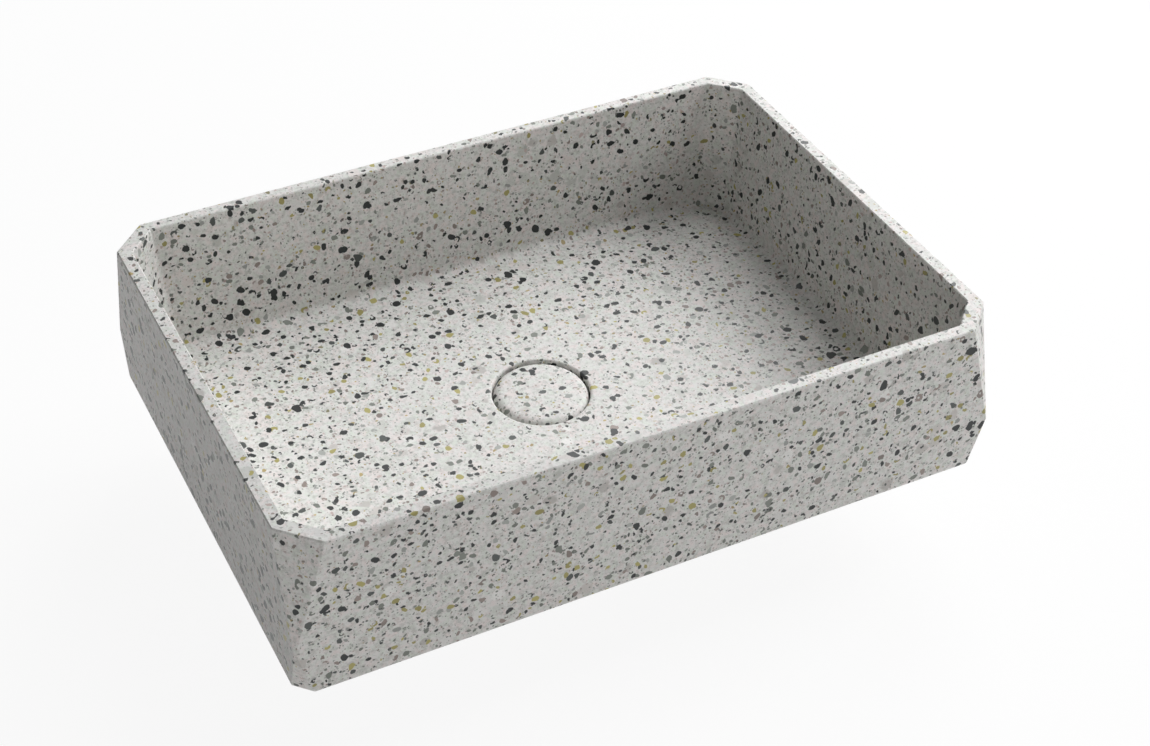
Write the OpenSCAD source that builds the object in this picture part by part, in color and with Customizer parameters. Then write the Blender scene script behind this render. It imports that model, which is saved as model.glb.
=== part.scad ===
// Terrazzo countertop basin with a click-clack waste.
// Origin: centre of the flat base, on the plane that rests on the worktop. +Z is up, the front is -Y.

/* [Basin] */
// Overall width, left to right
basin_w = 520; // [480:1:640]
// Overall depth, front to back
basin_d = 360; // [340:1:460]
// Height from the worktop to the rim
basin_h = 127; // [110:1:160]
// Width of the flat rim
rim_t = 10; // [8:0.5:16]
// Leg of the chamfer at each corner of the rim
corner_cut = 25; // [15:0.5:35]
// Height at which the corner facets meet in a point
waist_h = 40; // [25:1:60]
// Leg of the chamfer at each corner of the base
foot_cut = 12; // [6:0.5:20]
// Radius of the worn edges of the corner facets
waist_arris = 1; // [0.6:0.1:2]
// Radius of the edge round the base
base_round = 3; // [1:0.5:5]
// Bevel along both edges of the rim
rim_arris = 0.8; // [0.4:0.1:1.5]

/* [Bowl] */
// Leg of the chamfer at each inner corner of the rim
bowl_cut = 20; // [12:0.5:28]
// How far the walls lean in from the rim to the floor
bowl_draft = 14; // [6:0.5:24]
// Radius between walls and floor
bowl_fillet = 8; // [4:0.5:14]
// Radius of the upright inner edges at the foot of the walls
bowl_edge_round = 12; // [9:0.5:20]
// Radius of the upright inner edges at the rim
bowl_edge_arris = 1.5; // [0.5:0.1:3]
// Height of the floor along the walls
floor_edge_h = 24; // [22.5:0.1:30]
// Height of the floor at the drain
floor_h = 21.2; // [20:0.1:22]

/* [Drain in the basin] */
// Recess round the cover
recess_d = 72; // [70:0.5:80]
// Radius of the lip of the recess
lip_round = 2; // [0.5:0.1:2.5]
// Height of the seat under the flange gasket
seat_h = 9.5; // [8.5:0.1:11]
// Hole through the floor
drain_hole_d = 46; // [45.6:0.1:50]
// Diameter of the shallow pocket under the base
pocket_d = 84; // [76:1:110]
// Depth of the shallow pocket under the base
pocket_depth = 1.5; // [0.5:0.1:3]

/* [Cover] */
// Diameter of the terrazzo disc
cover_d = 70; // [66:0.5:71]
// Thickness of the terrazzo disc
cover_t = 7.2; // [6.5:0.1:9]
// Width of the rounded shoulder round the disc
cover_shoulder = 7; // [4:0.5:9]
// Drop of the shoulder to the side of the disc
cover_drop = 6; // [2:0.1:6.5]
// Rise of the crown above the upper edge
cover_crown = 0.5; // [0.2:0.1:1]
// Diameter of the carrier set into the disc
insert_d = 46; // [40:0.5:52]
// Thickness of the carrier plate
insert_t = 2.5; // [1.5:0.1:3]
// Diameter of the hub under the carrier
hub_d = 30; // [28:0.5:31]
// Length of the hub below the disc
hub_len = 10.2; // [9.5:0.1:11]
// Depth of the seal groove in the hub
seal_groove = 2; // [1:0.1:3]
// Height of the seal
seal_t = 3.4; // [2.5:0.1:4]
// Height of the seal above the bottom of the hub
seal_lift = 1; // [0.6:0.1:1.4]
// Thickness of the lip of the seal
seal_lip = 1; // [0.6:0.1:1.4]
// How far the seal narrows below its lip
seal_taper = 1.4; // [0.8:0.1:2]
// Depth of the dish between the lip and the hub
seal_dish = 1.2; // [0.6:0.1:1.6]

/* [Travel] */
// Height that the cover rises to open
lift = 9; // [7:0.1:10]
// Depth that the cover is pressed to click
press = 1.5; // [0.8:0.1:2]
// Space left at the end of each travel
stop_gap = 0.3; // [0.2:0.05:0.5]

/* [Waste] */
// Diameter of the flange
flange_d = 64; // [60:0.5:66]
// Thickness of the flange
flange_t = 2; // [1.5:0.1:2.5]
// Thickness of the gasket under the flange
gasket_t = 1.5; // [1:0.1:2]
// How far the edge of the gasket lies inside the edge of the flange
gasket_inset = 0.5; // [0.3:0.1:1]
// Outer diameter of the tube, over a 1 1/4 inch pipe thread
tube_d = 41.9; // [41.5:0.1:42.2]
// Bore of the tube
tube_bore = 37; // [36:0.1:37.5]
// Diameter of the neck below the flange
neck_d = 45; // [44:0.1:45.2]
// Mouth of the throat at the top of the flange
mouth_d = 46; // [42:0.5:48]
// Depth of the tapered mouth
mouth_depth = 4.5; // [3.5:0.1:5]
// Distance from the base down to the lower end of the tube
tube_drop = 78; // [72:1:100]
// Length of the outlet thread at the lower end
outlet_len = 24; // [16:1:28]
// Width of the groove between the outlet thread and the clamping thread
relief_w = 2.5; // [1.5:0.5:4]
// Depth of the groove
relief_depth = 0.9; // [0.5:0.1:1.2]
// Chamfer at the lower end of the tube
tube_bevel = 1; // [0.5:0.1:1.5]
// Thickness of each arm of the spider
arm_t = 3; // [2:0.5:5]
// Height of the spider
spider_h = 8; // [6:0.5:10]
// Diameter of the boss in the spider
boss_d = 16; // [14:0.5:18]

/* [Clamp] */
// Outer diameter of the conical gasket
cone_d = 60; // [56:0.5:66]
// Height of the conical gasket outside the basin
cone_h = 6; // [4:0.5:9]
// Height of the cone inside the hole
cone_tip = 3; // [1:0.5:5]
// Chamfer round the upper edge of the conical gasket
cone_bevel = 2; // [1:0.5:3]
// Width of the flat tip of the cone
cone_tip_w = 0.5; // [0.3:0.1:1]
// Thickness of the slip washer
slip_t = 1.5; // [1:0.1:3]
// Width of the back nut across its flats
nut_af = 50; // [48:0.5:56]
// Thickness of the back nut
nut_t = 9; // [7:0.5:12]
// Thickness of the collar on the upper face of the back nut
nut_collar = 1.5; // [0.8:0.1:2.5]
// How far the edge of the collar lies inside the edge of the gasket
collar_inset = 1; // [0.5:0.5:2]

/* [Cartridge] */
// Diameter of the stem
stem_d = 8; // [7:0.5:9]
// Space above the stem in the hub
stem_room = 1; // [0.5:0.1:2]
// Diameter of the shank that carries the barrel
shank_d = 6; // [5:0.5:6.5]
// Outer diameter of the housing
housing_d = 19; // [18:0.5:20]
// Bore of the housing
housing_bore = 14.6; // [14.5:0.1:15]
// Thickness of the floor of the housing
housing_floor = 3; // [2:0.5:4]
// Diameter of the stud under the housing
stud_d = 10; // [8:0.5:11]
// Width of the gland's head across its two flats
gland_af = 17; // [15:0.5:18]
// Thickness of the head of the gland
gland_head = 3; // [2:0.5:4]
// Length of the gland inside the housing
gland_plug = 4; // [3:0.5:6]
// Diameter of the shoulder on the plunger
shoulder_d = 13; // [12:0.5:14]
// Thickness of the shoulder on the plunger
shoulder_t = 2; // [1.5:0.5:3]
// Outer diameter of the barrel
barrel_d = 14; // [13.5:0.1:14.1]
// Length of the barrel
barrel_len = 17; // [17:0.5:20]
// Height of the latched pin above the foot of the barrel
track_rest = 13; // [12.5:0.1:13.1]
// Diameter of the guide pin
pin_d = 2; // [1.6:0.1:2.4]
// Depth of the track
track_depth = 1.7; // [1.4:0.1:2]
// Number of lobes of the track round the barrel
lobes = 3; // [3:1:3]
// Turn of the barrel from pressed to open, in degrees
stroke_turn = 45; // [35:1:45]
// Height of the lock nut on the stem
lock_nut_t = 2.8; // [2:0.1:3]
// Width of the lock nut across its flats
lock_nut_af = 13; // [12:0.5:15]
// Thickness of the thrust washer
washer_t = 1; // [0.8:0.1:1.5]
// Diameter of the thrust washer
washer_d = 13.8; // [13:0.1:14]
// Thickness of the retaining clip
clip_t = 0.8; // [0.6:0.1:1]
// Diameter of the retaining clip
clip_d = 10; // [9:0.5:10.5]
// Depth of the groove for the clip
clip_groove = 0.6; // [0.4:0.1:0.8]
// Width of each of the three tabs of the clip
clip_tab = 1.6; // [1.2:0.1:1.8]
// Gap between the shank and the ring of the clip
clip_relief = 0.7; // [0.4:0.1:0.8]
// Length of the shank below the clip
shank_tail = 1.5; // [1:0.5:2.5]
// Space under the plunger for the spring
spring_room = 15.3; // [13:0.1:20]
// Diameter of the spring wire
wire_d = 1.2; // [0.8:0.1:1.3]
// Outer diameter of the spring
spring_d = 13.4; // [13:0.1:13.8]
// Number of turns of the spring
spring_turns = 6; // [5:1:7]

/* [Fits] */
// Radial gap of a moving fit
run_gap = 0.05; // [0.03:0.01:0.1]
// Radial gap of a threaded or glued joint
joint_gap = 0.05; // [0.03:0.01:0.1]
// Gap between a soft piece and a moving neighbour
soft_gap = 0.3; // [0.25:0.05:0.4]
// Gap on each side of the pin in the track
track_gap = 0.25; // [0.2:0.01:0.35]

/* [Hidden] */
round_fn = 96;
terrazzo = [0.86, 0.85, 0.82];
metal = [0.78, 0.79, 0.80];
yellow_metal = [0.80, 0.66, 0.36];
soft_black = [0.12, 0.12, 0.12];
soft_white = [0.90, 0.90, 0.88];

// Heights of the flange and the cover
flange_z = seat_h + gasket_t;
flange_top = flange_z + flange_t;
cover_z = flange_top + press + stop_gap;
cover_top = cover_z + cover_t;
hub_z = cover_z - hub_len;
seal_z = hub_z + seal_lift;
seal_d = tube_bore - 2 * soft_gap;

// Heights of the cartridge, from the hub down
lock_nut_z = hub_z - lock_nut_t;
gland_top = lock_nut_z - press - stop_gap;
housing_top = gland_top - gland_head;
gland_foot = housing_top - gland_plug;
shoulder_top = gland_foot - lift - stop_gap;
barrel_top = shoulder_top - shoulder_t;
barrel_z = barrel_top - barrel_len;
washer_z = barrel_z - washer_t;
clip_z = washer_z - clip_t;
shank_end = clip_z - shank_tail;
cavity_z = washer_z - spring_room;
housing_z = cavity_z - housing_floor;
spider_z = housing_z - spider_h;
pin_z = barrel_z + track_rest;

// Heights of the clamp, from the base down
neck_z = pocket_depth + cone_tip + soft_gap;
cone_z = pocket_depth - cone_h;
slip_z = cone_z - slip_t;
nut_z = slip_z - nut_t;

// Track of the barrel: angles in degrees, heights above the foot of the barrel
lobe_turn = 360 / lobes;
turn_per_mm = stroke_turn / (lift + press);
open_height = track_rest - lift;
pressed_height = track_rest + press;
latch_angle = lobe_turn / 2;
start_angle = lobe_turn - stroke_turn;
rest_angle = start_angle + press * turn_per_mm;
track_r = barrel_d / 2 - track_depth;

// Spring: its wire has turn_rings rings a turn, of spring_sides points each
spring_r = (spring_d - wire_d) / 2;
spring_rise = spring_room - wire_d;
turn_rings = 12;
spring_rings = spring_turns * turn_rings;
spring_sides = 8;

// Meeting point of two lines with normals at the angles a and a + 45 and the distances da and db
function meet(da, db, a) =
    [da * sin(a + 45) - db * sin(a), db * cos(a) - da * cos(a + 45)] / sin(45);

// Outline of a chamfered rectangle, drawn in by an inset, with n arc steps at each of its eight corners
function outline(half_w, half_d, cut, inset, r, n) = [
    for (k = [0 : 7])
        let (across = (half_w + half_d - cut) / sqrt(2) - inset)
        let (sides = [half_w - inset, across, half_d - inset, across])
        let (c = meet(sides[k % 4] - r, sides[(k + 1) % 4] - r, 45 * k))
        for (j = [0 : n]) c + r * [cos(45 * (k + j / n)), sin(45 * (k + j / n))]
];

// Solid through a list of outlines with equal numbers of points, from the lowest to the highest
module loft(outlines, heights) {
    count = len(outlines[0]);
    last = len(outlines) - 1;
    points = [for (i = [0 : last]) for (p = outlines[i]) [p[0], p[1], heights[i]]];
    walls = [
        for (i = [0 : last - 1]) for (j = [0 : count - 1])
            let (a = i * count + j, b = i * count + (j + 1) % count)
            each [[a, a + count, b + count], [a, b + count, b]]
    ];
    lid = [for (j = [count - 1 : -1 : 0]) last * count + j];
    polyhedron(points, concat([[for (j = [0 : count - 1]) j]], walls, [lid]), 6);
}

// Leg of the corner chamfer of the outer body at a height
function cut_at(z) = z < waist_h
    ? waist_arris + (foot_cut - waist_arris) * (waist_h - z) / waist_h
    : waist_arris + (corner_cut - waist_arris) * (z - waist_h) / (basin_h - waist_h);

// Outer body: rounded base edge, sharp waist at each corner and a bevelled rim
module outer_body() {
    steps = 4;
    corner_steps = 2;
    levels = concat(
        [for (i = [0 : steps])
            let (a = 90 * i / steps)
            base_round * [1 - cos(a), 1 - sin(a)]],
        [[waist_h, 0], [basin_h - rim_arris, 0], [basin_h, rim_arris]]);
    loft(
        [for (l = levels) outline(basin_w / 2, basin_d / 2, cut_at(l[0]), l[1], waist_arris, corner_steps)],
        [for (l = levels) l[0]]);
}

// Inset of the bowl's wall at a height
function wall_inset(z) = bowl_draft * (basin_h - rim_arris - z) / (basin_h - rim_arris - floor_edge_h);

// Bowl: drafted walls, a fillet into the floor and a floor that falls to the drain
module bowl() {
    arc_steps = 6;
    corner_steps = 4;
    lean = atan(bowl_draft / (basin_h - rim_arris - floor_edge_h));
    arc_z = floor_edge_h + bowl_fillet;
    arc_inset = wall_inset(arc_z) + bowl_fillet / cos(lean);
    half_w = basin_w / 2 - rim_t;
    half_d = basin_d / 2 - rim_t;
    fillet = [
        for (i = [arc_steps : -1 : 0])
            let (a = lean + (90 - lean) * i / arc_steps)
            [arc_z - bowl_fillet * sin(a), arc_inset - bowl_fillet * cos(a)]
    ];
    rims = [[basin_h - rim_arris, 0], [basin_h, -rim_arris], [basin_h + 1, -rim_arris - 1]];
    levels = concat(fillet, rims);
    foot_inset = fillet[arc_steps][1];
    loft(
        [for (l = levels) outline(half_w, half_d, bowl_cut, l[1],
            l[0] <= arc_z ? bowl_edge_round - (l[1] - foot_inset) : bowl_edge_arris, corner_steps)],
        [for (l = levels) l[0]]);
    hull() {
        translate([0, 0, floor_edge_h])
            linear_extrude(height = 0.4)
                polygon(outline(half_w, half_d, bowl_cut, arc_inset,
                    bowl_edge_round - (arc_inset - foot_inset), corner_steps));
        translate([0, 0, floor_h])
            cylinder(d = recess_d + 4 * lip_round, h = 1, $fn = 64);
    }
}

module basin() color(terrazzo) {
    difference() {
        outer_body();
        bowl();
        translate([0, 0, seat_h]) cylinder(d = recess_d, h = basin_h, $fn = round_fn);
        rotate_extrude($fn = round_fn) difference() {
            translate([recess_d / 2 - 1, floor_h - lip_round]) square([1 + lip_round, 1 + lip_round]);
            translate([recess_d / 2 + lip_round, floor_h - lip_round]) circle(r = lip_round, $fn = 48);
        }
        translate([0, 0, -1]) cylinder(d = drain_hole_d, h = basin_h, $fn = round_fn);
        translate([0, 0, -1]) cylinder(d = pocket_d, h = 1 + pocket_depth, $fn = round_fn);
    }
}

// Terrazzo disc with a gently crowned top, a rounded shoulder and a pocket for its carrier
module drain_cover() color(terrazzo) {
    flat_r = cover_d / 2 - cover_shoulder;
    crown_r = (flat_r * flat_r + cover_crown * cover_crown) / (2 * cover_crown);
    edge_top = cover_t - cover_crown;
    drop = min(cover_drop, edge_top - 0.5);
    translate([0, 0, cover_z]) difference() {
        union() {
            rotate_extrude($fn = round_fn) {
                square([flat_r, edge_top]);
                square([cover_d / 2, edge_top - drop]);
                translate([flat_r, edge_top - drop])
                    intersection() {
                        scale([cover_shoulder / drop, 1]) circle(r = drop, $fn = 64);
                        square([cover_shoulder, drop]);
                    }
            }
            rotate_extrude($fn = round_fn) intersection() {
                translate([0, cover_t - crown_r]) circle(r = crown_r, $fn = 720);
                translate([0, edge_top - 1]) square([flat_r, cover_crown + 2]);
            }
        }
        translate([0, 0, -1])
            cylinder(d = insert_d + 2 * joint_gap, h = 1 + insert_t + joint_gap, $fn = round_fn);
    }
}

// Carrier: plate in the pocket of the disc, hub with a seal groove and a blind thread for the stem
module cover_insert() color(metal) {
    groove_d = hub_d - 2 * seal_groove;
    difference() {
        union() {
            translate([0, 0, cover_z]) cylinder(d = insert_d, h = insert_t, $fn = round_fn);
            translate([0, 0, hub_z]) cylinder(d = hub_d, h = hub_len + 1, $fn = round_fn);
        }
        difference() {
            translate([0, 0, seal_z]) cylinder(d = hub_d + 2, h = seal_t, $fn = round_fn);
            translate([0, 0, seal_z - 1]) cylinder(d = groove_d, h = seal_t + 2, $fn = round_fn);
        }
        translate([0, 0, hub_z - 1]) cylinder(d = stem_d + 2 * joint_gap, h = hub_len + 1, $fn = round_fn);
    }
}

// Seal: a ring with a lip that tapers up to the wall of the throat
module cover_seal() color(soft_black) {
    inner = hub_d / 2 - seal_groove + joint_gap;
    outer = seal_d / 2;
    lip_t = seal_t - 2 * joint_gap;
    translate([0, 0, seal_z + joint_gap]) rotate_extrude($fn = round_fn)
        polygon([[inner, 0], [outer - seal_taper, 0], [outer, lip_t - seal_lip], [outer, lip_t],
            [outer - seal_lip, lip_t], [hub_d / 2, lip_t - seal_dish], [hub_d / 2, lip_t], [inner, lip_t]]);
}

module height_lock_nut() color(yellow_metal) {
    translate([0, 0, lock_nut_z]) difference() {
        cylinder(d = lock_nut_af / cos(30), h = lock_nut_t, $fn = 6);
        translate([0, 0, -1]) cylinder(d = stem_d + 2 * joint_gap, h = lock_nut_t + 2, $fn = round_fn);
    }
}

// Plunger: stem into the hub, shoulder over the barrel and shank through it, with a groove for the clip
module plunger() color(yellow_metal) {
    stem_top = cover_z - stem_room;
    groove_d = shank_d - 2 * clip_groove;
    difference() {
        union() {
            translate([0, 0, shoulder_top]) cylinder(d = stem_d, h = stem_top - shoulder_top, $fn = round_fn);
            translate([0, 0, barrel_top]) cylinder(d = shoulder_d, h = shoulder_t, $fn = round_fn);
            translate([0, 0, shank_end]) cylinder(d = shank_d, h = barrel_top - shank_end + 1, $fn = round_fn);
        }
        difference() {
            translate([0, 0, clip_z]) cylinder(d = shank_d + 2, h = clip_t, $fn = round_fn);
            translate([0, 0, clip_z - 1]) cylinder(d = groove_d, h = clip_t + 2, $fn = round_fn);
        }
    }
}

module thrust_washer() color(metal) {
    translate([0, 0, washer_z]) difference() {
        cylinder(d = washer_d, h = washer_t, $fn = round_fn);
        translate([0, 0, -1]) cylinder(d = shank_d + 2 * run_gap, h = washer_t + 2, $fn = round_fn);
    }
}

// Clip: an open ring whose three tabs sit in the groove of the shank
module retaining_clip() color(metal) {
    seat_r = shank_d / 2 - clip_groove + joint_gap;
    mouth_w = 2 * (seat_r - joint_gap - clip_groove / 2);
    translate([0, 0, clip_z]) linear_extrude(height = clip_t) difference() {
        circle(d = clip_d, $fn = round_fn);
        circle(r = seat_r, $fn = round_fn);
        difference() {
            circle(r = shank_d / 2 + clip_relief, $fn = round_fn);
            for (a = [85, 180, 275]) rotate(a) translate([0, -clip_tab / 2]) square([clip_d, clip_tab]);
        }
        translate([0, -mouth_w / 2]) square([clip_d, mouth_w]);
    }
}

// Height of the middle of the track at an angle: up the closing leg, over the latch, down the opening leg
function track_height(angle) = lookup((angle + lobe_turn) % lobe_turn, [[0, open_height],
    [stroke_turn, pressed_height], [latch_angle, track_rest], [start_angle, pressed_height],
    [lobe_turn, open_height]]);

// Height that the pin sweeps at an angle and a radius: side 1 for the upper edge, -1 for the lower
function track_edge(angle, r, side) =
    let (half_w = pin_d / 2 + track_gap)
    let (spread = half_w / r * 180 / PI)
    side * max([for (b = [-90 : 6 : 90]) side * track_height(angle + spread * sin(b)) + half_w * cos(b)]);

// Solid swept by the pin round the barrel
module track() {
    step = 3;
    outer = barrel_d / 2 + 0.5;
    corners = [[track_r, -1], [outer, -1], [outer, 1], [track_r, 1]];
    stations = 360 / step;
    points = [
        for (i = [0 : stations - 1]) for (c = corners)
            [c[0] * cos(i * step), c[0] * sin(i * step), track_edge(i * step, c[0], c[1])]
    ];
    faces = [
        for (i = [0 : stations - 1]) for (j = [0 : 3])
            let (a = 4 * i + j, b = 4 * i + (j + 1) % 4)
            let (c = (a + 4) % (4 * stations), d = (b + 4) % (4 * stations))
            each [[a, b, d], [a, d, c]]
    ];
    polyhedron(points, faces, 4);
}

// Barrel with a zigzag track of equal lobes
module cam_barrel() color(soft_white) {
    translate([0, 0, barrel_z]) rotate(-rest_angle) difference() {
        cylinder(d = barrel_d, h = barrel_len, $fn = round_fn);
        translate([0, 0, -1]) cylinder(d = shank_d + 2 * run_gap, h = barrel_len + 2, $fn = round_fn);
        track();
    }
}

// Point on the centre line of the spring
function spring_point(i) =
    let (a = 360 * i / turn_rings)
    [spring_r * cos(a), spring_r * sin(a), cavity_z + wire_d / 2 + spring_rise * i / spring_rings];

// Eight points of the wire's surface round a point of its centre line
function spring_ring(i) =
    let (a = 360 * i / turn_rings)
    let (climb = atan(spring_rise / (2 * PI * spring_r * spring_turns)))
    let (out = [cos(a), sin(a), 0])
    let (up = [sin(a) * sin(climb), -cos(a) * sin(climb), cos(climb)])
    [for (j = [0 : spring_sides - 1])
        let (b = 360 * j / spring_sides)
        spring_point(i) + wire_d / 2 * (cos(b) * out + sin(b) * up)];

// Least gap between neighbouring turns, from one turn less a quarter to a whole turn apart
spring_gap = min([for (i = [0 : spring_rings - turn_rings]) for (k = [0.75 * turn_rings : turn_rings])
    norm(spring_point(i + k) - spring_point(i))]) - wire_d;
echo(spring_least_gap_mm = spring_gap);

// Spring: one unbroken wire
module return_spring() color(metal) {
    points = [for (i = [0 : spring_rings]) each spring_ring(i)];
    walls = [for (i = [0 : spring_rings - 1]) for (j = [0 : spring_sides - 1])
        let (a = i * spring_sides + j, b = i * spring_sides + (j + 1) % spring_sides)
        each [[a, a + spring_sides, b + spring_sides], [a, b + spring_sides, b]]];
    head = [for (j = [0 : spring_sides - 1]) j];
    tail = [for (j = [spring_sides - 1 : -1 : 0]) spring_rings * spring_sides + j];
    polyhedron(points, concat([head], walls, [tail]), 6);
}

// Housing: tube with a floor, a stud below and a cross hole for the guide pin
module cartridge_housing() color(yellow_metal) {
    difference() {
        union() {
            translate([0, 0, housing_z]) cylinder(d = housing_d, h = housing_top - housing_z, $fn = round_fn);
            translate([0, 0, spider_z]) cylinder(d = stud_d, h = spider_h + 1, $fn = round_fn);
        }
        translate([0, 0, cavity_z]) cylinder(d = housing_bore, h = housing_top - cavity_z + 1, $fn = round_fn);
        translate([0, 0, pin_z]) rotate([0, 90, 0])
            cylinder(d = pin_d + 2 * joint_gap, h = housing_d, $fn = 48);
    }
}

// Gland: head with two flats and a plug that fits the bore of the housing
module cartridge_gland() color(yellow_metal) {
    difference() {
        union() {
            translate([0, 0, housing_top]) intersection() {
                cylinder(d = housing_d, h = gland_head, $fn = round_fn);
                translate([-housing_d, -gland_af / 2, 0]) cube([2 * housing_d, gland_af, gland_head]);
            }
            translate([0, 0, gland_foot])
                cylinder(d = housing_bore - 2 * joint_gap, h = gland_plug + 1, $fn = round_fn);
        }
        translate([0, 0, gland_foot - 1])
            cylinder(d = stem_d + 2 * run_gap, h = gland_plug + gland_head + 2, $fn = round_fn);
    }
}

// Pin through the wall of the housing, with its tip in the track
module guide_pin() color(metal) {
    tip_r = track_r + track_gap;
    translate([tip_r, 0, pin_z]) rotate([0, 90, 0])
        cylinder(d = pin_d, h = housing_d / 2 - tip_r, $fn = 48);
}

// Waste: flange with a rounded edge, tapered mouth, neck, tube and spider, turned and cast in one piece
module waste_body() color(metal) {
    flange_r = flange_d / 2;
    edge_r = flange_t / 2;
    tube_r = tube_d / 2;
    relief_r = tube_r - relief_depth;
    relief_z = tube_bevel + outlet_len - tube_drop;
    relief_top = relief_z + relief_w;
    rotate_extrude($fn = round_fn) {
        polygon([[tube_bore / 2, -tube_drop], [tube_r - tube_bevel, -tube_drop],
            [tube_r, tube_bevel - tube_drop], [tube_r, relief_z], [relief_r, relief_z],
            [relief_r, relief_top], [tube_r, relief_top], [tube_r, neck_z], [neck_d / 2, neck_z],
            [neck_d / 2, flange_z], [flange_r - edge_r, flange_z], [flange_r - edge_r, flange_top],
            [mouth_d / 2, flange_top], [tube_bore / 2, flange_top - mouth_depth]]);
        translate([flange_r - edge_r, flange_z + edge_r]) circle(r = edge_r, $fn = 48);
    }
    translate([0, 0, spider_z]) difference() {
        union() {
            cylinder(d = boss_d, h = spider_h, $fn = round_fn);
            for (i = [0 : 2]) rotate(60 + 120 * i)
                translate([0, -arm_t / 2, 0]) cube([(tube_bore + tube_d) / 4, arm_t, spider_h - 1]);
        }
        translate([0, 0, -1]) cylinder(d = stud_d + 2 * joint_gap, h = spider_h + 2, $fn = round_fn);
    }
}

module flange_gasket() color(soft_black) {
    translate([0, 0, seat_h]) difference() {
        cylinder(d = flange_d - 2 * gasket_inset, h = gasket_t, $fn = round_fn);
        translate([0, 0, -1]) cylinder(d = neck_d + 2 * joint_gap, h = gasket_t + 2, $fn = round_fn);
    }
}

// Conical gasket: its tip centres the tube in the hole of the basin
module base_gasket() color(soft_black) {
    inner = tube_d / 2 + joint_gap;
    tip = drain_hole_d / 2 - joint_gap;
    rotate_extrude($fn = round_fn)
        polygon([[inner, cone_z], [cone_d / 2, cone_z], [cone_d / 2, pocket_depth - cone_h / 2],
            [cone_d / 2 - cone_bevel, pocket_depth], [tip, pocket_depth],
            [inner + cone_tip_w, pocket_depth + cone_tip],
            [inner, pocket_depth + cone_tip]]);
}

module slip_washer() color(soft_white) {
    translate([0, 0, slip_z]) difference() {
        cylinder(d = cone_d, h = slip_t, $fn = round_fn);
        translate([0, 0, -1]) cylinder(d = tube_d + 2 * joint_gap, h = slip_t + 2, $fn = round_fn);
    }
}

// Nut with chamfered corners and a round collar against the washer
module back_nut() color(metal) {
    corner_d = nut_af / cos(30);
    bevel = (corner_d - nut_af) / 2;
    hex_t = nut_t - nut_collar;
    translate([0, 0, nut_z]) difference() {
        union() {
            intersection() {
                cylinder(d = corner_d, h = hex_t, $fn = 6);
                rotate_extrude($fn = round_fn)
                    polygon([[0, 0], [nut_af / 2, 0], [corner_d / 2, bevel / 2], [corner_d / 2, hex_t],
                        [0, hex_t]]);
            }
            translate([0, 0, hex_t]) cylinder(d = cone_d - 2 * collar_inset, h = nut_collar, $fn = round_fn);
        }
        translate([0, 0, -1]) cylinder(d = tube_d + 2 * joint_gap, h = nut_t + 2, $fn = round_fn);
    }
}

basin();
drain_cover();
cover_insert();
cover_seal();
height_lock_nut();
plunger();
thrust_washer();
retaining_clip();
cam_barrel();
return_spring();
cartridge_housing();
cartridge_gland();
guide_pin();
waste_body();
flange_gasket();
base_gasket();
slip_washer();
back_nut();
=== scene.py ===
"""Terrazzo countertop basin with a click-clack waste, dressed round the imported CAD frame.
Lengths are in metres and angles in degrees, unless a name says otherwise."""
import math

import bmesh
import bpy
from mathutils import Matrix, Vector


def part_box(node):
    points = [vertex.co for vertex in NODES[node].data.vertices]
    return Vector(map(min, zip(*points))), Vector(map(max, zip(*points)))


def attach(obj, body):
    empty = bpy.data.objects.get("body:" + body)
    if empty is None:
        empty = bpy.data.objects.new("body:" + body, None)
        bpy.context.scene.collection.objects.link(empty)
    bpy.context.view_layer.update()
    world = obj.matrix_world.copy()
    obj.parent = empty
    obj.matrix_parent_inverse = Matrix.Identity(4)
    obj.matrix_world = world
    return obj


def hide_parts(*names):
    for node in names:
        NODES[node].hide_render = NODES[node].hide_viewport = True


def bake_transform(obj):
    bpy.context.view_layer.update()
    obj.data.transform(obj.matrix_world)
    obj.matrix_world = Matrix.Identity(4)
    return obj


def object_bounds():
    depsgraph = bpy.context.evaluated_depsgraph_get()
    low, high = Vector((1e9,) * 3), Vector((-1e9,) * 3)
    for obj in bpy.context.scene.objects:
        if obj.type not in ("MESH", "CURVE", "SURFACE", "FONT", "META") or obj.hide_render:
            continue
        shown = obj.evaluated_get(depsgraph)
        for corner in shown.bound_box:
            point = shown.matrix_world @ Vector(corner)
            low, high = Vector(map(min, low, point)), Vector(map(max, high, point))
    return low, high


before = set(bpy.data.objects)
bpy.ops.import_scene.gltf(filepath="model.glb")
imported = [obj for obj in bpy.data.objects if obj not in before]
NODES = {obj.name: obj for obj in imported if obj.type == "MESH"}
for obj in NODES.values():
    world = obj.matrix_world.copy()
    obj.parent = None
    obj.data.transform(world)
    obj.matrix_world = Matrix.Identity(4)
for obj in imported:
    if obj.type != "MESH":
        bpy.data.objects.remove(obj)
CAD_BOX = [list(corner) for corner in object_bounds()]

# Camera, solved from the photograph's straight edges
SENSOR_MM = 36.0
PHOTO_W_PX = 1150.0
PHOTO_H_PX = 746.0
FOCAL_PX = 2079.9
CENTRE_X_PX = 488.7
CENTRE_Y_PX = 282.6
CAMERA_POS = (-0.52671, -1.02883, 1.0023)
CAMERA_RIGHT = (0.904006, -0.427517, -0.001773)
CAMERA_FORWARD = (0.338937, 0.719216, -0.606507)
CLIP_NEAR = 0.05
CLIP_FAR = 50


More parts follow.
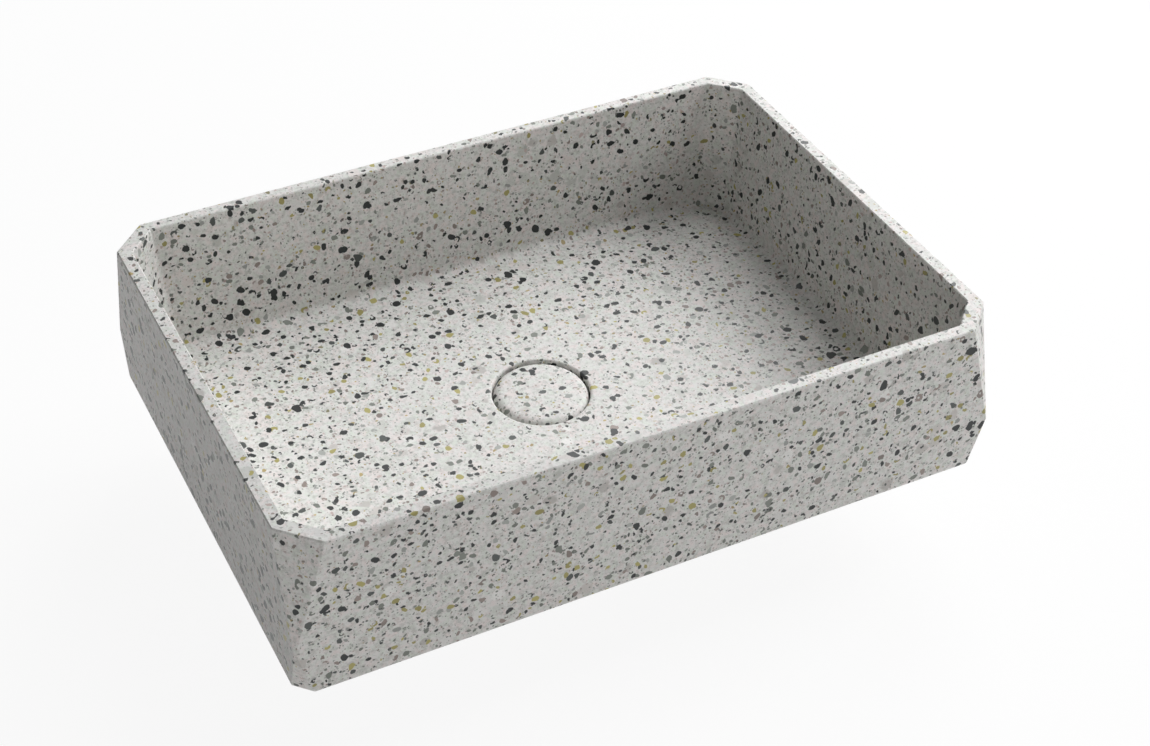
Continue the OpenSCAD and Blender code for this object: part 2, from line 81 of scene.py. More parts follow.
def make_camera():
    data = bpy.data.cameras.new("camera")
    camera = bpy.data.objects.new("camera", data)
    bpy.context.scene.collection.objects.link(camera)
    forward = Vector(CAMERA_FORWARD).normalized()
    right = Vector(CAMERA_RIGHT)
    right = (right - forward * right.dot(forward)).normalized()
    up = right.cross(forward)
    turn = Matrix((right, up, -forward)).transposed()
    camera.matrix_world = Matrix.Translation(CAMERA_POS) @ turn.to_4x4()
    data.sensor_fit = "HORIZONTAL"
    data.sensor_width = SENSOR_MM
    data.lens = FOCAL_PX / PHOTO_W_PX * SENSOR_MM
    data.shift_x = (PHOTO_W_PX / 2 - CENTRE_X_PX) / PHOTO_W_PX
    data.shift_y = (CENTRE_Y_PX - PHOTO_H_PX / 2) / PHOTO_W_PX
    data.clip_start = CLIP_NEAR
    data.clip_end = CLIP_FAR
    bpy.context.scene.camera = camera


make_camera()

# Node helpers


def opaque(colour):
    """A colour triple with full alpha. A socket stays as it is."""
    return (*colour, 1) if isinstance(colour, tuple) else colour


class Tree:
    """Builds a node tree with short calls: a number, a tuple or a socket can feed any input."""

    def __init__(self, node_tree):
        self.nodes = node_tree.nodes
        self.links = node_tree.links

    def node(self, kind, inputs=(), **settings):
        node = self.nodes.new("ShaderNode" + kind)
        for key, value in settings.items():
            setattr(node, key, value)
        for key, value in dict(inputs).items():
            self.feed(node.inputs[key], value)
        return node

    def feed(self, socket, value):
        if isinstance(value, bpy.types.NodeSocket):
            self.links.new(value, socket)
        else:
            socket.default_value = value

    def math(self, operation, a, b=0.0, c=0.0, clamp=False):
        return self.node("Math", {0: a, 1: b, 2: c}, operation=operation, use_clamp=clamp).outputs[0]

    def vec(self, operation, a, b=(0, 0, 0)):
        node = self.node("VectorMath", {0: a, 1: b}, operation=operation)
        return node.outputs["Value" if operation == "LENGTH" else "Vector"]

    def scale(self, vector, factor):
        return self.node("VectorMath", {0: vector, "Scale": factor}, operation="SCALE").outputs["Vector"]

    def join(self, x, y, z):
        return self.node("CombineXYZ", {0: x, 1: y, 2: z}).outputs[0]

    def split(self, vector):
        return self.node("SeparateXYZ", {0: vector}).outputs

    def split_colour(self, colour):
        return self.node("SeparateColor", {0: colour}).outputs

    def mix(self, factor, a, b):
        """Colour a, which gives way to b as the factor goes from 0 to 1."""
        node = self.node("Mix", data_type="RGBA")
        self.feed(node.inputs[0], factor)
        self.feed(node.inputs[6], opaque(a))
        self.feed(node.inputs[7], opaque(b))
        return node.outputs[2]

    def remap(self, value, low, high, to_low, to_high):
        return self.node("MapRange", {0: value, 1: low, 2: high, 3: to_low, 4: to_high}).outputs[0]

    def noise(self, vector, scale, detail, rough, output=0):
        inputs = {"Vector": vector, "Scale": scale, "Detail": detail, "Roughness": rough}
        return self.node("TexNoise", inputs).outputs[output]

    def ramp(self, value, stops, interpolation="LINEAR"):
        node = self.node("ValToRGB", {0: value})
        node.color_ramp.interpolation = interpolation
        elements = node.color_ramp.elements
        while len(elements) < len(stops):
            elements.new(0.5)
        for element, (place, colour) in zip(elements, stops):
            element.position = place
            element.color = opaque(colour)
        return node.outputs[0]

    def bump(self, strength, relief, height):
        return self.node("Bump", {"Strength": strength, "Distance": relief, "Height": height}).outputs[0]

    def surface(self, shader):
        self.node("OutputMaterial", {"Surface": shader})

    def principled(self, colour, rough, normal, metallic=0.0, specular=0.5):
        """The surface as the standard shader, with that shader's own values where none is given."""
        inputs = {"Base Color": colour, "Roughness": rough, "Normal": normal, "Metallic": metallic,
                  "Specular IOR Level": specular}
        self.surface(self.node("BsdfPrincipled", inputs).outputs[0])


def start_material(name):
    """A new material with an empty tree."""
    material = bpy.data.materials.new(name)
    material.use_nodes = True
    material.node_tree.nodes.clear()
    return material, Tree(material.node_tree)


def srgb(red, green, blue):
    """Linear colour of an sRGB triple written in 0 to 255."""
    def linear(value):
        value /= 255
        return value / 12.92 if value <= 0.04045 else ((value + 0.055) / 1.055) ** 2.4
    return (linear(red), linear(green), linear(blue))


# Terrazzo: colours of the cement, of its faint stones and of the chips
CEMENT_GREEN = srgb(224, 228, 221)
CEMENT_WHITE = srgb(232, 231, 229)
CEMENT_PINK = srgb(235, 227, 225)
CEMENT_MOTTLE = srgb(184, 183, 178)
CEMENT_GRAIN = srgb(190, 187, 182)
CEMENT_DIRT = srgb(176, 172, 164)
MIST = srgb(217, 219, 214)
BLUSH = srgb(224, 216, 213)
ASH = srgb(206, 208, 202)
CHALK = srgb(231, 230, 228)
CLAY = srgb(196, 191, 187)
BLACK = srgb(42, 45, 45)
CHARCOAL = srgb(78, 82, 80)
GREY = srgb(128, 132, 125)
PALE_GREY = srgb(170, 172, 168)
OCHRE = srgb(172, 164, 104)
OLIVE = srgb(140, 136, 104)
SAND = srgb(178, 160, 114)
TAUPE = srgb(148, 136, 130)
ROSE = srgb(188, 172, 168)


def shares(*pairs):
    """Stops of a stepped ramp from (share, colour) pairs."""
    total = sum(share for share, _ in pairs)
    stops = []
    start = 0.0
    for share, colour in pairs:
        stops.append((start, colour))
        start += share / total
    return stops


# Terrazzo: sizes of stone. cell is the room that one stone has, radius its smallest and largest half
# length, shape how much thinner its second and third axes are, share how many cells hold a stone, seed its
# draw, warp how much the cells are bent, edge the width of a stone's blurred rim, and bite the share of
# stones with a piece broken out of one side
FAINT_STONES = dict(
    cell=0.0125, radius=(0.0034, 0.0070), shape=(1.3, 1.1), share=0.60, seed=31.3, warp=0.6, edge=0.0016,
    stops=shares((3, MIST), (3, BLUSH), (3, ASH), (2, CHALK), (2, CLAY)))
CHIP_LAYERS = [
    dict(cell=0.0022, radius=(0.00045, 0.00105), shape=(1.5, 1.2), share=0.70, seed=3.1, warp=0.4,
         edge=0.0004,
         stops=shares((40, PALE_GREY), (20, GREY), (18, ROSE), (8, TAUPE), (14, SAND))),
    dict(cell=0.0036, radius=(0.00090, 0.00185), shape=(1.9, 1.3), share=0.66, seed=8.3, warp=0.45,
         edge=0.0006,
         stops=shares((3, CHARCOAL), (21, GREY), (16, TAUPE), (30, PALE_GREY), (14, ROSE), (6, OLIVE),
                      (9, SAND), (1, BLACK))),
    dict(cell=0.0053, radius=(0.0013, 0.0027), shape=(2.1, 1.35), share=0.78, seed=14.7, warp=0.42,
         edge=0.0004, bite=0.35,
         stops=shares((20, BLACK), (7, CHARCOAL), (23, GREY), (13, TAUPE), (6, OLIVE), (12, ROSE),
                      (14, PALE_GREY), (5, SAND))),
    dict(cell=0.0076, radius=(0.0019, 0.0040), shape=(1.9, 1.3), share=0.80, seed=21.9, warp=0.36,
         edge=0.0003, bite=0.3,
         stops=shares((45, BLACK), (8, CHARCOAL), (13, GREY), (7, TAUPE), (14, OCHRE), (13, PALE_GREY))),
    dict(cell=0.0115, radius=(0.0024, 0.0048), shape=(1.65, 1.25), share=0.52, seed=27.4, warp=0.28,
         edge=0.0002,
         stops=shares((80, BLACK), (12, CHARCOAL), (8, GREY))),
]
SEED_Y = 1.7
SEED_Z = 2.3
CELL_RANDOMNESS = 0.8
SMALL_STONE_BIAS = 1.5
EGG_TAPER = 0.35
EGG_WIDEST = 0.45
BITE_PLACE = 0.85
BITE_RADIUS = 0.55
DARKEST_SHADE = 0.80
LIGHTEST_SHADE = 1.20

# Terrazzo: a noise is (scale, detail, roughness), and a range is (low, high, value at low, value at high)
CELL_BEND = (2.0, 2.0, 0.6)
TINT = (150.0, 3.0, 0.6)
TINT_STOPS = [(0.36, CEMENT_GREEN), (0.50, CEMENT_WHITE), (0.64, CEMENT_PINK)]
MOTTLE = (330.0, 4.0, 0.7)
MOTTLE_SHOWS = (0.46, 0.64, 0.0, 0.62)
FAINT_STONES_SHOW = 0.75
GRAIN = (900.0, 3.0, 0.65)
GRAIN_SHOWS = (0.50, 0.74, 0.0, 0.30)
GRAIN_ROUGHNESS = (0.3, 0.7, 0.46, 0.58)
CHIP_ROUGHNESS_LESS = 0.14
PITS = (420.0, 2.0, 0.5)
PITS_HEIGHT = (0.3, 0.7, 0.0, 1.0)
CHIP_PITS_LESS = 0.7
PITS_RELIEF = 0.0003
HONED_BUMP = 0.12
SPECULAR = 0.35

# Terrazzo: the unpolished underside, where the normal points down past RAW_NORMAL_Z
RAW_NORMAL_Z = -0.7
RAW_BUMP_MORE = 0.5
RAW_ROUGHNESS = 0.85
DIRT = (28.0, 3.0, 0.55)
DIRT_SHOWS = (0.35, 0.65, 0.35, 0.85)
DIRT_STRENGTH = 0.55


def soft_inside(tree, radius, reach, edge):
    """1 where the reach is inside the radius by the edge's width or more, falling to 0 at the radius."""
    return tree.math("DIVIDE", tree.math("SUBTRACT", radius, reach), edge, clamp=True)


def egg_reach(tree, place, size, shape):
    """Distance from the middle of a stone, in a space where the thinned and tapered egg is a ball."""
    along = tree.split(place)
    taper = tree.math("MULTIPLY_ADD", tree.math("DIVIDE", along[0], size), EGG_TAPER, 1.0)
    squeeze = tree.math("MAXIMUM", taper, EGG_WIDEST)
    second = tree.math("MULTIPLY", tree.math("MULTIPLY", along[1], shape[0]), squeeze)
    third = tree.math("MULTIPLY", tree.math("MULTIPLY", along[2], shape[1]), squeeze)
    return tree.vec("LENGTH", tree.join(along[0], second, third))


def bitten(tree, place, size, shape, edge):
    """1 in a ball that sits on one side of a stone."""
    middle = tree.join(0.0, tree.math("MULTIPLY", size, BITE_PLACE / shape[0]), 0.0)
    reach = tree.vec("LENGTH", tree.vec("SUBTRACT", place, middle))
    return soft_inside(tree, tree.math("MULTIPLY", size, BITE_RADIUS), reach, edge)


def chips(tree, coord, cell, radius, shape, share, stops, seed, warp, edge, bite=0.0):
    """One size of stone: a random egg in each cell of space, sliced where the surface passes.
    Returns (mask, colour). Inside the function a cell is one unit wide."""
    edge /= cell
    cells_at = tree.vec("ADD", tree.scale(coord, 1 / cell), (seed, SEED_Y * seed, SEED_Z * seed))
    bend = tree.vec("SUBTRACT", tree.noise(cells_at, *CELL_BEND, output="Color"), (0.5, 0.5, 0.5))
    cells_at = tree.vec("ADD", cells_at, tree.scale(bend, warp))
    inputs = {"Vector": cells_at, "Scale": 1.0, "Randomness": CELL_RANDOMNESS}
    cells = tree.node("TexVoronoi", inputs, voronoi_dimensions="3D").outputs
    middle = cells["Position"]
    dice = tree.node("TexWhiteNoise", {"Vector": middle}, noise_dimensions="3D").outputs
    stone_dice = tree.split_colour(dice["Color"])
    cell_dice = tree.split_colour(cells["Color"])
    turns = tree.scale(dice["Color"], 2 * math.pi)
    inputs = {"Vector": tree.vec("SUBTRACT", cells_at, middle), "Rotation": turns}
    place = tree.node("VectorRotate", inputs, rotation_type="EULER_XYZ").outputs[0]
    size_dice = tree.math("POWER", cell_dice[0], SMALL_STONE_BIAS)
    size = tree.remap(size_dice, 0, 1, radius[0] / cell, radius[1] / cell)
    mask = soft_inside(tree, size, egg_reach(tree, place, size, shape), edge)
    if bite:
        gone = bitten(tree, place, size, shape, edge)
        gone = tree.math("MULTIPLY", gone, tree.math("LESS_THAN", stone_dice[1], bite))
        mask = tree.math("MULTIPLY", mask, tree.math("SUBTRACT", 1.0, gone))
    mask = tree.math("MULTIPLY", mask, tree.math("LESS_THAN", dice["Value"], share))
    shade = tree.remap(stone_dice[2], 0, 1, DARKEST_SHADE, LIGHTEST_SHADE)
    return mask, tree.scale(tree.ramp(cell_dice[1], stops, "CONSTANT"), shade)


def cement(tree, coord, grain):
    """White cement, mottled and grained, with pale stones that hardly show."""
    colour = tree.ramp(tree.noise(coord, *TINT), TINT_STOPS)
    mottle = tree.remap(tree.noise(coord, *MOTTLE), *MOTTLE_SHOWS)
    colour = tree.mix(mottle, colour, CEMENT_MOTTLE)
    mask, stone = chips(tree, coord, **FAINT_STONES)
    colour = tree.mix(mask, colour, tree.mix(FAINT_STONES_SHOW, colour, stone))
    return tree.mix(tree.remap(grain, *GRAIN_SHOWS), colour, CEMENT_GRAIN)


def make_terrazzo(name, shift):
    """Chips cut through by the surface. The shift sets which part of the mix a piece is cut from."""
    material, tree = start_material(name)
    coord = tree.vec("ADD", tree.node("TexCoord").outputs["Object"], shift)
    grain = tree.noise(coord, *GRAIN)
    colour = cement(tree, coord, grain)
    chip_mask = 0.0
    for layer in CHIP_LAYERS:
        mask, chip = chips(tree, coord, **layer)
        colour = tree.mix(mask, colour, chip)
        chip_mask = tree.math("MAXIMUM", mask, chip_mask)
    facing = tree.split(tree.node("NewGeometry").outputs["True Normal"])[2]
    raw = tree.math("LESS_THAN", facing, RAW_NORMAL_Z)
    dirt = tree.math("MULTIPLY", raw, tree.remap(tree.noise(coord, *DIRT), *DIRT_SHOWS))
    colour = tree.mix(tree.math("MULTIPLY", dirt, DIRT_STRENGTH), colour, CEMENT_DIRT)
    pits = tree.remap(tree.noise(coord, *PITS), *PITS_HEIGHT)
    pitted = tree.math("SUBTRACT", 1.0, tree.math("MULTIPLY", chip_mask, CHIP_PITS_LESS))
    height = tree.math("MULTIPLY", pits, pitted)
    normal = tree.bump(tree.math("MULTIPLY_ADD", raw, RAW_BUMP_MORE, HONED_BUMP), PITS_RELIEF, height)
    chip_gloss = tree.math("MULTIPLY", chip_mask, CHIP_ROUGHNESS_LESS)
    honed = tree.math("SUBTRACT", tree.remap(grain, *GRAIN_ROUGHNESS), chip_gloss)
    rough = tree.math("MAXIMUM", honed, tree.math("MULTIPLY", raw, RAW_ROUGHNESS))
    tree.principled(colour, rough, normal, specular=SPECULAR)
    return material


# Metals: a range of two numbers gets its two values from each finish
SMUDGE = (55.0, 4.0, 0.6)
SMUDGE_SHOWS = (0.42, 0.70)
SMUDGE_ROUGHNESS = (0.35, 0.75)
SCRATCH = (2600.0, 2.0, 0.6)
SCRATCH_STRETCH = (1.0, 1.0, 0.12)
SCRATCH_ROUGHNESS = (0.3, 0.7, 0.0, 0.05)
RING_HEIGHT = 0.5
METAL_BUMP = 0.10
METAL_RELIEF = 0.0001


def lathe_rings(tree, coord, groove):
    """Waves one groove apart: rings on a face across the axis, and bands on a tube along it."""
    along = tree.split(coord)
    radial = tree.vec("LENGTH", tree.join(along[0], along[1], 0.0))
    path = tree.math("ADD", radial, along[2])
    return tree.math("SINE", tree.math("MULTIPLY", path, 2 * math.pi / groove))


def make_metal(name, colour, smudged, rough, groove=0.0, spot=0.3):
    """Metal with faint smudges, fine scratches and, where groove is set, the rings of a lathe tool."""
    material, tree = start_material(name)
    coord = tree.node("TexCoord").outputs["Object"]
    smudge = tree.noise(coord, *SMUDGE)
    scratch = tree.noise(tree.vec("MULTIPLY", coord, SCRATCH_STRETCH), *SCRATCH)
    base = tree.mix(tree.remap(smudge, *SMUDGE_SHOWS, 0.0, spot), colour, smudged)
    height = scratch
    if groove:
        height = tree.math("MULTIPLY_ADD", lathe_rings(tree, coord, groove), RING_HEIGHT, scratch)
    normal = tree.bump(METAL_BUMP, METAL_RELIEF, height)
    smudge_rough = tree.remap(smudge, *SMUDGE_ROUGHNESS, *rough)
    roughness = tree.math("ADD", smudge_rough, tree.remap(scratch, *SCRATCH_ROUGHNESS))
    tree.principled(base, roughness, normal, metallic=1.0)
    return material


# Rubber and plastic
CLOUD = (70.0, 3.0, 0.6)
CLOUD_SHOWS = (0.35, 0.75, 0.0, 0.6)
SOFT_DETAIL = 3.0
SOFT_NOISE_ROUGHNESS = 0.6
SOFT_RANGE = (0.3, 0.7)
SOFT_BUMP = 0.25


def make_soft(name, colour, clouded, rough, scale, relief):
    """Rubber or moulded plastic: a fine surface grain, and tone that varies a little."""
    material, tree = start_material(name)
    coord = tree.node("TexCoord").outputs["Object"]
    grain = tree.noise(coord, scale, SOFT_DETAIL, SOFT_NOISE_ROUGHNESS)
    base = tree.mix(tree.remap(tree.noise(coord, *CLOUD), *CLOUD_SHOWS), colour, clouded)
    roughness = tree.remap(grain, *SOFT_RANGE, *rough)
    tree.principled(base, roughness, tree.bump(SOFT_BUMP, relief, grain))
    return material


def put(node, material):
    """Gives a CAD node one material in all its slots."""
    for slot in NODES[node].material_slots:
        slot.material = material


# Materials, and the nodes that have them
TERRAZZO = make_terrazzo("terrazzo", shift=(0.0, 0.0, 0.0))
COVER_TERRAZZO = make_terrazzo("cover_terrazzo", shift=(0.31, 0.17, 0.53))
CHROME = make_metal("chromed_brass", colour=(0.80, 0.81, 0.82), smudged=(0.70, 0.71, 0.72),
                    rough=(0.06, 0.16))
STEEL = make_metal("stainless_steel", colour=(0.72, 0.72, 0.71), smudged=(0.62, 0.62, 0.61),
                   rough=(0.24, 0.36), groove=0.0003)
SPRING = make_metal("spring_steel", colour=(0.60, 0.60, 0.60), smudged=(0.42, 0.41, 0.40),
                    rough=(0.26, 0.40), spot=0.6)
BRASS = make_metal("brass", colour=(0.78, 0.62, 0.33), smudged=(0.58, 0.42, 0.20), rough=(0.22, 0.38),
                   groove=0.00035, spot=0.5)
RUBBER = make_soft("rubber", colour=(0.045, 0.045, 0.046), clouded=(0.075, 0.075, 0.074),
                   rough=(0.62, 0.80), scale=1500.0, relief=0.00015)
ACETAL = make_soft("acetal", colour=(0.84, 0.84, 0.81), clouded=(0.78, 0.77, 0.74), rough=(0.34, 0.46),
                   scale=900.0, relief=0.00008)
FINISHES = {
    TERRAZZO: ("basin",),
    COVER_TERRAZZO: ("drain_cover",),
    CHROME: ("waste_body", "back_nut"),
    STEEL: ("cover_insert", "thrust_washer", "retaining_clip"),
    SPRING: ("return_spring", "guide_pin"),
    BRASS: ("height_lock_nut", "plunger", "cartridge_housing", "cartridge_gland"),
    RUBBER: ("cover_seal", "flange_gasket", "base_gasket"),
    ACETAL: ("cam_barrel", "slip_washer"),
}
for finish, names in FINISHES.items():
    for name in names:
        put(name, finish)

# Waste body with cut threads: the CAD's sizes, with the pitch and depth of a G 1 1/4 pipe thread
BORE_R = 0.0185
THREAD_R = 0.02095
THREAD_PITCH = 0.002309
THREAD_DEPTH = 0.001479
FLANK_SLOPE = 1.25
FLANK_START = 0.125
TUBE_END_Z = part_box("waste_body")[0][2]
TUBE_END_BREAK = 0.001
OUTLET_THREAD_TOP_Z = -0.0530
CLAMP_THREAD_FOOT_Z = -0.0505
CLAMP_THREAD_TOP_Z = 0.0040
GROOVE_DEPTH = 0.0009
GROOVE_SLOPE = 0.0004
NECK_R = 0.0225
NECK_FOOT_Z = 0.0048
NECK_BREAK = 0.0003
FLANGE_FOOT_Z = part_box("flange_gasket")[1][2]
FLANGE_TOP_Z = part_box("waste_body")[1][2]
FLANGE_R = 0.0320
FLANGE_EDGE = (FLANGE_TOP_Z - FLANGE_FOOT_Z) / 2
THROAT_R = 0.0235
THROAT_EDGE = 0.0006
THROAT_FOOT_Z = 0.0083
THROAT_FOOT_OUT = 0.0002
THROAT_FOOT_UP = 0.0004

# The spider inside the tube: a boss that holds the cartridge, on three arms
BOSS_BORE_R = 0.00505
BOSS_BORE_BREAK = 0.0003
BOSS_R = 0.0080
BOSS_EDGE = 0.0006
BOSS_FOOT_Z = -0.0626
BOSS_TOP_Z = -0.0546
ARM_TURNS = (60, 180, 300)
ARM_SIZE = (0.0120, 0.0030, 0.0070)
ARM_MIDDLE_R = 0.0132
ARM_EDGE = 0.0008

# Fineness of the turned shapes and of their rounded edges
ROWS_PER_TURN = 8
STEPS = 96
RIM_RINGS = 9
EDGE_RINGS = 4
ARM_SEGMENTS = 3
ROUND_PROFILE = 0.5
PARALLEL = 0.9
MERGE = 0.000001


def polar(radius, angle, z):
    """A point from an angle in radians."""
    return (radius * math.cos(angle), radius * math.sin(angle), z)


def ring(radius, z):
    return [polar(radius, 2 * math.pi * k / STEPS, z) for k in range(STEPS + 1)]


def arc(radius, z, edge, start, end, count):
    """Rings that follow an arc of the profile, round (radius, z) from one angle to another."""
    turns = [math.radians(start + (end - start) * i / (count - 1)) for i in range(count)]
    return [ring(radius + edge * math.cos(t), z + edge * math.sin(t)) for t in turns]


def thread(low, high):
    """Rows that climb as a right-handed helix between two heights. The thread runs out at both ends."""
    rows = []
    for j in range(-ROWS_PER_TURN, math.ceil((high - low) / THREAD_PITCH * ROWS_PER_TURN) + 1):
        flank = abs((j + 0.5) / ROWS_PER_TURN % 1 * 2 - 1)
        depth = THREAD_DEPTH * min(max(FLANK_SLOPE * flank - FLANK_START, 0), 1)
        row = []
        for k in range(STEPS + 1):
            z = min(max(low + THREAD_PITCH * (j / ROWS_PER_TURN + k / STEPS), low), high)
            run_out = min((z - low) / THREAD_PITCH, (high - z) / THREAD_PITCH, 1)
            row.append(polar(THREAD_R - depth * run_out, 2 * math.pi * k / STEPS, z))
        rows.append(row)
    return rows


def skin(bm, rows):
    """Faces between each row of points and the next."""
    made = [[bm.verts.new(point) for point in row] for row in rows]
    for low, high in zip(made, made[1:]):
        for k in range(STEPS):
            bm.faces.new((low[k], low[k + 1], high[k + 1], high[k]))


def tube_rows():
    """The threaded tube from the foot of its bore, up the outside to the flange, and down the throat."""
    foot = ring(BORE_R, TUBE_END_Z)
    groove_r = THREAD_R - GROOVE_DEPTH
    rows = [foot, ring(THREAD_R - TUBE_END_BREAK, TUBE_END_Z)]
    rows += thread(TUBE_END_Z + TUBE_END_BREAK, OUTLET_THREAD_TOP_Z)
    rows += [ring(groove_r, OUTLET_THREAD_TOP_Z + GROOVE_SLOPE)]
    rows += [ring(groove_r, CLAMP_THREAD_FOOT_Z - GROOVE_SLOPE)]
    rows += thread(CLAMP_THREAD_FOOT_Z, CLAMP_THREAD_TOP_Z)
    rows += [ring(THREAD_R, NECK_FOOT_Z), ring(NECK_R - NECK_BREAK, NECK_FOOT_Z)]
    rows += [ring(NECK_R, NECK_FOOT_Z + NECK_BREAK), ring(NECK_R, FLANGE_FOOT_Z)]
    rows += arc(FLANGE_R - FLANGE_EDGE, FLANGE_FOOT_Z + FLANGE_EDGE, FLANGE_EDGE, -90, 90, RIM_RINGS)
    rows += arc(THROAT_R, FLANGE_TOP_Z - THROAT_EDGE, THROAT_EDGE, 90, 135, EDGE_RINGS)
    rows += [ring(BORE_R + THROAT_FOOT_OUT, THROAT_FOOT_Z + THROAT_FOOT_UP)]
    rows += [ring(BORE_R, THROAT_FOOT_Z), foot]
    return rows


def boss_rows():
    foot = ring(BOSS_BORE_R, BOSS_FOOT_Z + BOSS_BORE_BREAK)
    middle_r = BOSS_R - BOSS_EDGE
    rows = [foot, ring(BOSS_BORE_R + BOSS_BORE_BREAK, BOSS_FOOT_Z)]
    rows += arc(middle_r, BOSS_FOOT_Z + BOSS_EDGE, BOSS_EDGE, -90, 0, EDGE_RINGS)
    rows += arc(middle_r, BOSS_TOP_Z - BOSS_EDGE, BOSS_EDGE, 0, 90, EDGE_RINGS)
    rows += [ring(BOSS_BORE_R + BOSS_BORE_BREAK, BOSS_TOP_Z)]
    rows += [ring(BOSS_BORE_R, BOSS_TOP_Z - BOSS_BORE_BREAK), foot]
    return rows


def add_arm(bm, angle):
    """One arm of the spider, with its long edges rounded so that hair doesn't catch."""
    middle = Matrix.Translation((ARM_MIDDLE_R, 0, BOSS_FOOT_Z + ARM_SIZE[2] / 2))
    place = Matrix.Rotation(angle, 4, "Z") @ middle @ Matrix.Diagonal((*ARM_SIZE, 1))
    made = bmesh.ops.create_cube(bm, size=1, matrix=place)
    along = Vector(polar(1, angle, 0))
    edges = {edge for vert in made["verts"] for edge in vert.link_edges}
    long_edges = [edge for edge in edges
                  if abs((edge.verts[0].co - edge.verts[1].co).normalized().dot(along)) > PARALLEL]
    bmesh.ops.bevel(bm, geom=long_edges, offset=ARM_EDGE, segments=ARM_SEGMENTS, profile=ROUND_PROFILE,
                    affect="EDGES")


def add_piece(name, bm, material):
    """A new object from a finished mesh."""
    mesh = bpy.data.meshes.new(name)
    bm.to_mesh(mesh)
    bm.free()
    piece = bpy.data.objects.new(name, mesh)
    bpy.context.scene.collection.objects.link(piece)
    piece.data.materials.append(material)
    return piece


def make_waste_body():
    bm = bmesh.new()
    skin(bm, tube_rows())
    skin(bm, boss_rows())
    bmesh.ops.remove_doubles(bm, verts=bm.verts, dist=MERGE)
    bmesh.ops.recalc_face_normals(bm, faces=bm.faces)
    for turn in ARM_TURNS:
        add_arm(bm, math.radians(turn))
    piece = add_piece("waste_with_threads", bm, CHROME)
    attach(piece, "root")
    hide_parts("waste_body")
    return piece


waste = make_waste_body()

# Return spring: its foot stands on the floor of the cartridge and its head meets the washer
SPRING_FOOT = -0.0516
SPRING_HEAD = -0.0363
WIRE_RADIUS = 0.0006
COIL_RADIUS = 0.0061
COIL_TURNS = 6
COIL_STEPS = 24
WIRE_SIDES = 12


def wire_ring(bm, step):
    """Points round the wire where it has come so many steps up the coil."""
    rise = SPRING_HEAD - SPRING_FOOT - 2 * WIRE_RADIUS
    climb = math.atan(rise / (2 * math.pi * COIL_RADIUS * COIL_TURNS))
    turn = 2 * math.pi * step / COIL_STEPS
    height = SPRING_FOOT + WIRE_RADIUS + rise * step / (COIL_TURNS * COIL_STEPS)
    centre = Vector(polar(COIL_RADIUS, turn, height))
    out = Vector(polar(1, turn, 0))
    up = Vector((math.sin(turn) * math.sin(climb), -math.cos(turn) * math.sin(climb), math.cos(climb)))
    angles = [2 * math.pi * k / WIRE_SIDES for k in range(WIRE_SIDES)]
    return [bm.verts.new(centre + WIRE_RADIUS * (math.cos(b) * out + math.sin(b) * up)) for b in angles]


def make_spring():
    bm = bmesh.new()
    rings = [wire_ring(bm, step) for step in range(COIL_TURNS * COIL_STEPS + 1)]
    for low, high in zip(rings, rings[1:]):
        for k in range(WIRE_SIDES):
            bm.faces.new((low[k - 1], low[k], high[k], high[k - 1]))
    bm.faces.new(rings[0])
    bm.faces.new(rings[-1])
    bmesh.ops.recalc_face_normals(bm, faces=bm.faces)
    piece = add_piece("spring_coil", bm, SPRING)
    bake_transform(piece)
    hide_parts("return_spring")
    return piece


spring = make_spring()

# Smooth shading
CAD_CREASE = 32
PIECE_CREASE = 40
WELD = 0.000002
NORMAL_WEIGHT = 60


def smooth(obj, crease):
    """Curved faces shade smoothly and edges over the crease angle stay crisp. Points at one place are
    joined for this, and none moves."""
    if "custom_normal" in obj.data.attributes:
        obj.data.attributes.remove(obj.data.attributes["custom_normal"])
    obj.data.polygons.foreach_set("use_smooth", [True] * len(obj.data.polygons))
    weld = obj.modifiers.new("weld", "WELD")
    weld.merge_threshold = WELD
    split = obj.modifiers.new("split", "EDGE_SPLIT")
    split.split_angle = math.radians(crease)
    split.use_edge_sharp = False
    weighted = obj.modifiers.new("weighted", "WEIGHTED_NORMAL")
    weighted.weight = NORMAL_WEIGHT


for node in NODES.values():
    smooth(node, CAD_CREASE)
for piece in (waste, spring):
    smooth(piece, PIECE_CREASE)

# Stage: a white floor just below the waste, which can be seen through from below
FLOOR_SIZE = 12.0
FLOOR_GAP = 0.002
FLOOR_GREY = (0.90, 0.90, 0.90)
FLOOR_GLOW = 0.92
WHITE = (1.0, 1.0, 1.0)


def seen_ray(tree):
    """1 for a ray that shows the background itself: from the camera, in a reflection or through glass."""
    path = tree.node("LightPath").outputs
    seen = tree.math("MAXIMUM", path["Is Camera Ray"], path["Is Glossy Ray"])
    return tree.math("MAXIMUM", seen, path["Is Transmission Ray"])


def make_floor_material():
    material, tree = start_material("floor")
    lit = tree.node("BsdfDiffuse", {"Color": opaque(FLOOR_GREY)}).outputs[0]
    white = tree.node("Emission", {"Color": opaque(WHITE), "Strength": 1.0}).outputs[0]
    glow = tree.math("MULTIPLY", seen_ray(tree), FLOOR_GLOW)
    both = tree.node("MixShader", {0: glow, 1: lit, 2: white}).outputs[0]
    clear = tree.node("BsdfTransparent").outputs[0]
    below = tree.node("NewGeometry").outputs["Backfacing"]
    tree.surface(tree.node("MixShader", {0: below, 1: both, 2: clear}).outputs[0])
    return material


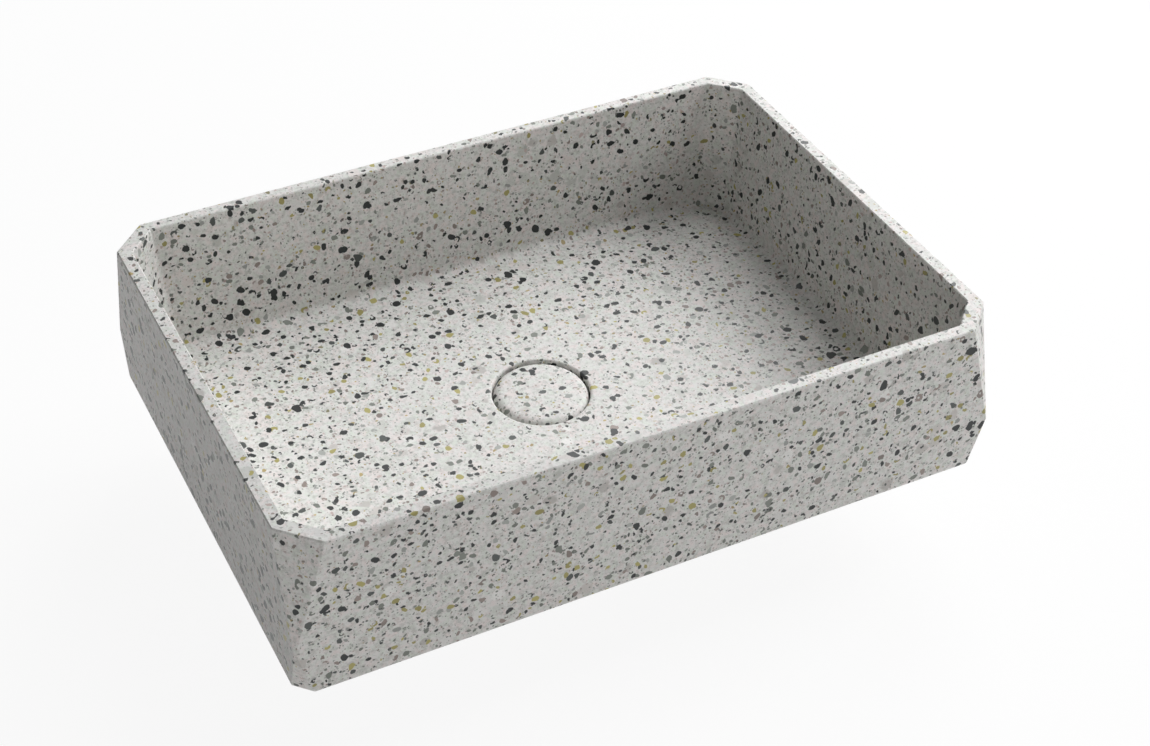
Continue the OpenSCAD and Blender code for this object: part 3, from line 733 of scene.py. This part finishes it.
def make_floor():
    bpy.ops.mesh.primitive_plane_add(size=FLOOR_SIZE, location=(0, 0, CAD_BOX[0][2] - FLOOR_GAP))
    floor = bpy.context.object
    floor.name = "floor"
    floor.data.materials.append(make_floor_material())


make_floor()

# Lamps: azimuth 0 is the front, 90 the right and 180 the back, and the power is in watts
LAMP_DISTANCE = 3.2
LAMP_AIM = (0, 0, 0.06)
WIDE_LAMP = 1.3
SMALL_LAMP = 0.8
COOL = (0.99, 0.995, 1.0)
WARM = (1.0, 0.985, 0.965)
LAMPS = [
    dict(name="key_right", azimuth=90, elevation=38, size=WIDE_LAMP, power=60, colour=COOL),
    dict(name="key_back_right", azimuth=135, elevation=38, size=WIDE_LAMP, power=36, colour=COOL),
    dict(name="high_right", azimuth=90, elevation=62, size=WIDE_LAMP, power=8, colour=COOL),
    dict(name="high_back_right", azimuth=135, elevation=62, size=WIDE_LAMP, power=26, colour=COOL),
    dict(name="low_front", azimuth=-20, elevation=6, size=SMALL_LAMP, power=22, colour=WARM),
]


def area_light(name, azimuth, elevation, size, power, colour):
    """A square lamp that faces the basin."""
    data = bpy.data.lights.new(name, "AREA")
    data.shape = "SQUARE"
    data.size = size
    data.energy = power
    data.color = colour
    lamp = bpy.data.objects.new(name, data)
    bpy.context.scene.collection.objects.link(lamp)
    around = math.radians(azimuth)
    above = math.radians(elevation)
    flat = math.cos(above)
    back = Vector((math.sin(around) * flat, -math.cos(around) * flat, math.sin(above)))
    lamp.location = back * LAMP_DISTANCE + Vector(LAMP_AIM)
    lamp.rotation_mode = "QUATERNION"
    lamp.rotation_quaternion = back.to_track_quat("Z", "Y")


for lamp in LAMPS:
    area_light(**lamp)

# World: white where it is seen, and almost dark as a light
WORLD_LEVEL = 0.02


def make_world():
    world = bpy.data.worlds.new("studio")
    bpy.context.scene.world = world
    world.use_nodes = True
    tree = Tree(world.node_tree)
    background = tree.nodes["Background"]
    tree.feed(background.inputs["Color"], opaque(WHITE))
    tree.feed(background.inputs["Strength"], tree.remap(seen_ray(tree), 0, 1, WORLD_LEVEL, 1.0))


make_world()
bpy.context.scene.view_settings.view_transform = "Standard"
